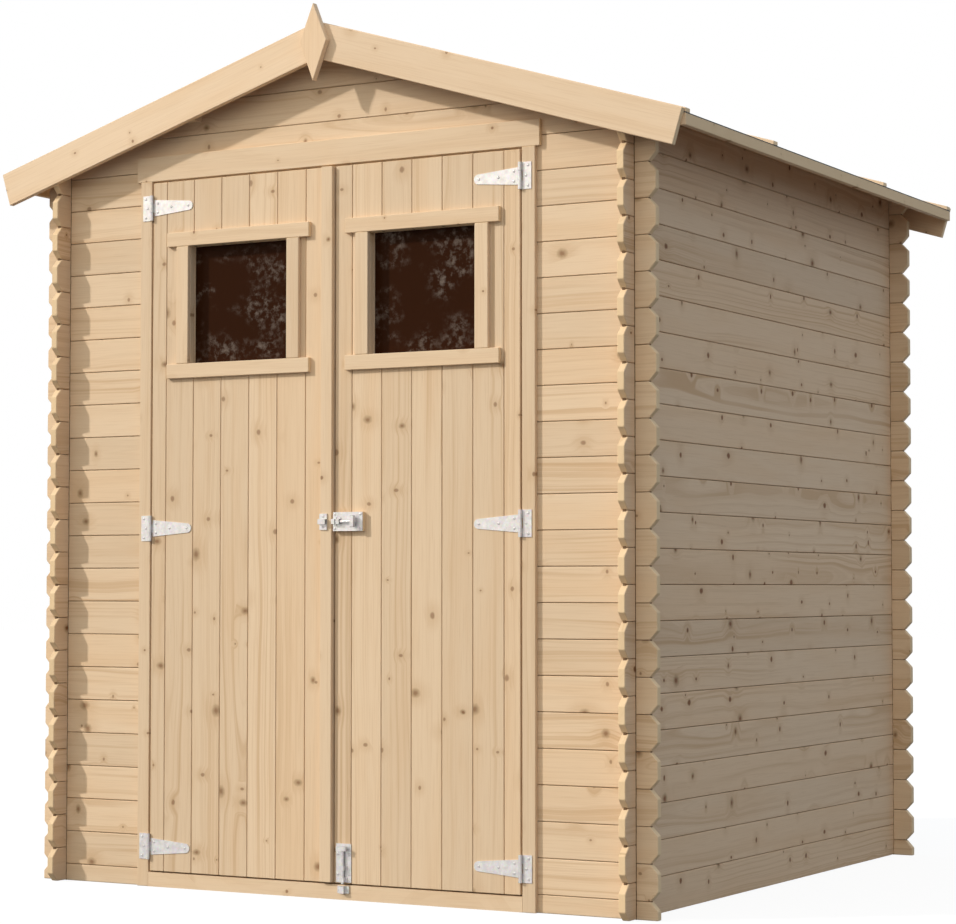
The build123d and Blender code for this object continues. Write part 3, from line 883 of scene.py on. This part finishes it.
def add_cross(pile, outline, ends, place, edge):
    """A board along Y with an (x, z) section, its grain turned to run along it."""
    count = len(pile.verts)
    pile.add(outline, ends, place, edge, tone=0.0)
    for n in range(count, len(pile.verts)):
        w = pile.wood[n]
        pile.wood[n] = Vector((w.z, w.y, w.x * 0.02 + 0.03))


def screw_tree():
    """Node group: a domed, cross-slotted head on each incoming point, facing along its normal."""
    tree = bpy.data.node_groups.new("screw_heads", "GeometryNodeTree")
    face = tree.interface
    face.new_socket("Geometry", in_out="INPUT", socket_type="NodeSocketGeometry")
    radius = face.new_socket("Radius", in_out="INPUT", socket_type="NodeSocketFloat")
    face.new_socket("Geometry", in_out="OUTPUT", socket_type="NodeSocketGeometry")
    g = Graph(tree)
    start = g.add("NodeGroupInput")
    size = start.outputs["Radius"]
    dome = g.add("GeometryNodeMeshUVSphere", {"Segments": 14, "Rings": 8, "Radius": size})
    flat = g.add("ShaderNodeCombineXYZ", {0: 1.0, 1: 1.0, 2: 0.42})
    dome = g.add("GeometryNodeTransform", {"Geometry": dome.outputs[0], "Scale": flat.outputs[0]})
    half = g.math("MULTIPLY", size, 0.5)
    long, wide = g.math("MULTIPLY", size, 1.1), g.math("MULTIPLY", size, 0.2)
    slot_size = g.add("ShaderNodeCombineXYZ", {0: long, 1: wide, 2: half})
    slot = g.add("GeometryNodeMeshCube", {"Size": slot_size.outputs[0]})
    lift = g.add("ShaderNodeCombineXYZ", {2: g.math("MULTIPLY", size, 0.5)})
    one = g.add("GeometryNodeTransform", {"Geometry": slot.outputs[0], "Translation": lift.outputs[0]})
    two = g.add("GeometryNodeTransform", {"Geometry": one.outputs[0], "Rotation": (0, 0, math.pi / 2)})
    head = g.add("GeometryNodeMeshBoolean", {0: dome.outputs[0]}, operation="DIFFERENCE", solver="EXACT")
    tree.links.new(one.outputs[0], head.inputs[1])
    tree.links.new(two.outputs[0], head.inputs[1])
    facing = g.add("GeometryNodeInputNamedAttribute", {"Name": "facing"}, data_type="FLOAT_VECTOR")
    turn = g.add("FunctionNodeAlignRotationToVector", {"Vector": facing.outputs[0]}, axis="Z")
    copies = g.add("GeometryNodeInstanceOnPoints",
                   {"Points": start.outputs[0], "Instance": head.outputs[0], "Rotation": turn.outputs[0]})
    real = g.add("GeometryNodeRealizeInstances", {0: copies.outputs[0]})
    done = g.add("GeometryNodeSetMaterial", {"Geometry": real.outputs[0], "Material": material("screw_steel")})
    out = g.add("NodeGroupOutput")
    tree.links.new(done.outputs[0], out.inputs[0])
    return tree, radius.identifier


def heads(name, points, body, slot, tree, key, radius):
    """Screw heads at points, all facing the front."""
    mesh = bpy.data.meshes.new(name)
    mesh.from_pydata(points, [], [])
    facing = mesh.attributes.new("facing", "FLOAT_VECTOR", "POINT")
    facing.data.foreach_set("vector", [0, -1, 0] * len(points))
    piece = through_nodes(mesh, name, tree, {key: radius})
    return settle(piece, body, slot)


def fittings(sizes):
    """Hinges, bolts and their screws."""
    for node in ("hinge_plates", "left_hinge_straps", "right_hinge_straps", "mid_bolt_keeper", "mid_bolt_plate",
                 "foot_bolt_plate", "foot_bolt_keeper", "mid_bolt", "foot_bolt"):
        paint(node, "zinc_plating")
    bars_for(sizes, "mid_bolt_packer", "bolt_packer", "X", "right_door", 71)
    bars_for(sizes, "door_cover_strip", "cover_strip", "Z", "left_door", 72)
    tree, key = screw_tree()
    points = {"root": [], "left_door": [], "right_door": []}
    for low, high in islands("hinge_plates"):
        side = 1 if low.x > 0 else -1
        middle = (low.z + high.z) / 2
        for dx, dz in PLATE_SCREWS:
            points["root"].append((side * (PIN_X + dx), high.y - STEEL_T, middle + dz))
    for name, side in (("left", -1), ("right", 1)):
        for low, high in islands(f"{name}_hinge_straps"):
            middle = (low.z + high.z) / 2
            for dx, dz in STRAP_SCREWS:
                points[f"{name}_door"].append((side * (PIN_X - dx), high.y - STEEL_T, middle + dz))
    low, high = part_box("mid_bolt_plate")
    face = high.y - STEEL_T
    for x in (low.x + 6 * MM, high.x - 6 * MM):
        for z in (low.z + 6 * MM, high.z - 6 * MM):
            points["right_door"].append((x, face, z))
    low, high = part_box("foot_bolt_plate")
    face = high.y - STEEL_T
    for x in (low.x + 6 * MM, high.x - 6 * MM):
        for z in (low.z + 20 * MM, high.z - 26 * MM):
            points["right_door"].append((x, face, z))
    low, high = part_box("mid_bolt_keeper")
    for z in (low.z + 7 * MM, high.z - 7 * MM):
        points["left_door"].append(((low.x + high.x) / 2, high.y - KEEPER_T, z))
    low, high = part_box("foot_bolt_keeper")
    for x in (low.x + 5 * MM, high.x - 5 * MM):
        points["root"].append((x, high.y - KEEPER_T, (low.z + high.z) / 2))
    for body, places in points.items():
        heads(f"{body}_screws", places, body, "zinc_steel", tree, key, sizes.screw)


def shown_rays(g):
    """1 on the rays that show the background: the camera's and those off or through metal and glass."""
    path = g.add("ShaderNodeLightPath").outputs
    through = g.math("MAXIMUM", path["Is Glossy Ray"], path["Is Transmission Ray"])
    return g.math("MAXIMUM", path["Is Camera Ray"], through)


def add_sun(name, power, tone, spread, run):
    """A sun lamp whose light runs along a direction, spread over so many degrees."""
    lamp = bpy.data.lights.new(name, "SUN")
    lamp.energy = power
    lamp.color = tone
    lamp.angle = math.radians(spread)
    sun = bpy.data.objects.new(name, lamp)
    sun.rotation_euler = run.to_track_quat("-Z", "Y").to_euler()
    bpy.context.scene.collection.objects.link(sun)


def stage(colours):
    """Camera, sun, sky light, floor and white background."""
    scene = bpy.context.scene
    camera = bpy.data.cameras.new("camera")
    camera.sensor_width = SENSOR
    camera.lens = SENSOR * FOCAL_PX / IMAGE_W
    view = bpy.data.objects.new("camera", camera)
    view.location = CAMERA_PLACE
    view.rotation_euler = (math.pi / 2 + CAMERA_RISE, 0, CAMERA_TURN)
    scene.collection.objects.link(view)
    scene.camera = view
    scene.view_settings.view_transform = "Standard"

    add_sun("sun", 2.25, (1.0, 0.965, 0.90), 2.5, SUN_RUN)
    add_sun("front_fill", 1.32, (1.0, 0.81, 0.48), 100, FILL_RUN)

    world = bpy.data.worlds.new("studio")
    scene.world = world
    world.use_nodes = True
    world.node_tree.nodes.clear()
    g = Graph(world.node_tree)
    sky = g.add("ShaderNodeBackground", {"Color": (0.86, 0.97, 1.10, 1), "Strength": 0.60})
    white = g.add("ShaderNodeBackground", {"Color": (1, 1, 1, 1), "Strength": 1.0})
    both = g.add("ShaderNodeMixShader", {0: shown_rays(g), 1: sky.outputs[0], 2: white.outputs[0]})
    g.add("ShaderNodeOutputWorld", {"Surface": both.outputs[0]})

    floor_material, g = new_material("studio_floor")
    plain = g.add("ShaderNodeBsdfDiffuse", {"Color": rgba(colours.floor, 0.14)})
    bright = g.add("ShaderNodeBsdfDiffuse", {"Color": rgba(colours.floor, 0.16)})
    glow = g.add("ShaderNodeEmission", {"Color": (1, 1, 1, 1), "Strength": 0.90})
    shown = g.add("ShaderNodeAddShader", {0: bright.outputs[0], 1: glow.outputs[0]})
    both = g.add("ShaderNodeMixShader", {0: shown_rays(g), 1: plain.outputs[0], 2: shown.outputs[0]})
    g.add("ShaderNodeOutputMaterial", {"Surface": both.outputs[0]})
    mesh = bpy.data.meshes.new("floor")
    corners = [(-1, -1), (1, -1), (1, 1), (-1, 1)]
    mesh.from_pydata([(x * FLOOR_REACH, y * FLOOR_REACH, 0) for x, y in corners], [], [(0, 1, 2, 3)])
    mesh.materials.append(floor_material)
    floor = bpy.data.objects.new("floor", mesh)
    floor.location.z = -0.5 * MM
    scene.collection.objects.link(floor)


class SHED_OT_materials(bpy.types.Operator):
    """Make the pine, zinc, felt and glass"""

    bl_idname = "shed.materials"
    bl_label = "Materials"

    def execute(self, context):
        colours = context.scene.shed_colours
        pine("pine_boards", colours, density=(0.42, 0.36), edge=0.62, grain=0.62, knot=1.25)
        pine("side_boards", colours, density=(0.66, 0.50), tint=(1.01, 0.99, 0.98), edge=1.0, grain=0.78,
             knot=1.4)
        pine("trim_pine", colours, density=(0.34, 0.20), grain=0.32)
        pine("barge_pine", colours, density=(0.34, 0.25), tint=(1.09, 1.09, 1.10), grain=0.32)
        # Painted shade: roof boards darkened and warmed for the shade under the eaves, where they are seen.
        pine("roof_pine", colours, tint=(0.84, 0.62, 0.41))
        pine("pine_across", colours, "X", (0.2, 0.1))
        pine("pine_up", colours, "Z", (0.2, 0.1))
        pine("pine_back", colours, "Y", (0.3, 0.1))
        # Wood painted dark as the shade in the joints and corners.
        painted_shade_wood("joint_wood", colours.seam)
        zinc(colours)
        dark_steel(colours)
        felt(colours)
        pane(colours)
        return {"FINISHED"}


class SHED_OT_stage(bpy.types.Operator):
    """Set up the camera, lights and floor"""

    bl_idname = "shed.stage"
    bl_label = "Stage"

    def execute(self, context):
        stage(context.scene.shed_colours)
        return {"FINISHED"}


class SHED_OT_walls(bpy.types.Operator):
    """Lay the boards of the four walls"""

    bl_idname = "shed.walls"
    bl_label = "Walls"

    def execute(self, context):
        sizes = context.scene.shed_sizes
        front_boards(sizes)
        rear_boards(sizes)
        for side in ("left", "right"):
            side_boards(sizes, side)
        return {"FINISHED"}


class SHED_OT_roof(bpy.types.Operator):
    """Lay the roof boards, felt, battens and the gables' trim"""

    bl_idname = "shed.roof"
    bl_label = "Roof"

    def execute(self, context):
        roof(context.scene.shed_sizes)
        return {"FINISHED"}


class SHED_OT_doors(bpy.types.Operator):
    """Make the doorway's trim and the two door leaves with their windows"""

    bl_idname = "shed.doors"
    bl_label = "Doors"

    def execute(self, context):
        sizes = context.scene.shed_sizes
        doorway(sizes)
        for side in ("left", "right"):
            leaf(sizes, side)
        return {"FINISHED"}


class SHED_OT_fittings(bpy.types.Operator):
    """Finish the hinges and bolts and drive their screws"""

    bl_idname = "shed.fittings"
    bl_label = "Hinges and bolts"

    def execute(self, context):
        fittings(context.scene.shed_sizes)
        return {"FINISHED"}


STEPS = (SHED_OT_materials, SHED_OT_stage, SHED_OT_walls, SHED_OT_roof, SHED_OT_doors, SHED_OT_fittings)


class SHED_PT_panel(bpy.types.Panel):
    """Shed finish in the sidebar"""

    bl_label = "Garden Shed"
    bl_space_type = "VIEW_3D"
    bl_region_type = "UI"
    bl_category = "Shed"

    def draw(self, context):
        for group in (context.scene.shed_sizes, context.scene.shed_colours):
            for key in group.__annotations__:
                self.layout.prop(group, key)
        for step in STEPS:
            self.layout.operator(step.bl_idname)


CLASSES = (ShedSizes, ShedColours, *STEPS, SHED_PT_panel)


def register():
    for item in CLASSES:
        bpy.utils.register_class(item)
    bpy.types.Scene.shed_sizes = bpy.props.PointerProperty(type=ShedSizes)
    bpy.types.Scene.shed_colours = bpy.props.PointerProperty(type=ShedColours)


def unregister():
    del bpy.types.Scene.shed_colours
    del bpy.types.Scene.shed_sizes
    for item in reversed(CLASSES):
        bpy.utils.unregister_class(item)


def main():
    register()
    bpy.ops.shed.materials()
    bpy.ops.shed.stage()
    bpy.ops.shed.walls()
    bpy.ops.shed.roof()
    bpy.ops.shed.doors()
    bpy.ops.shed.fittings()


if __name__ == "__main__":
    main()
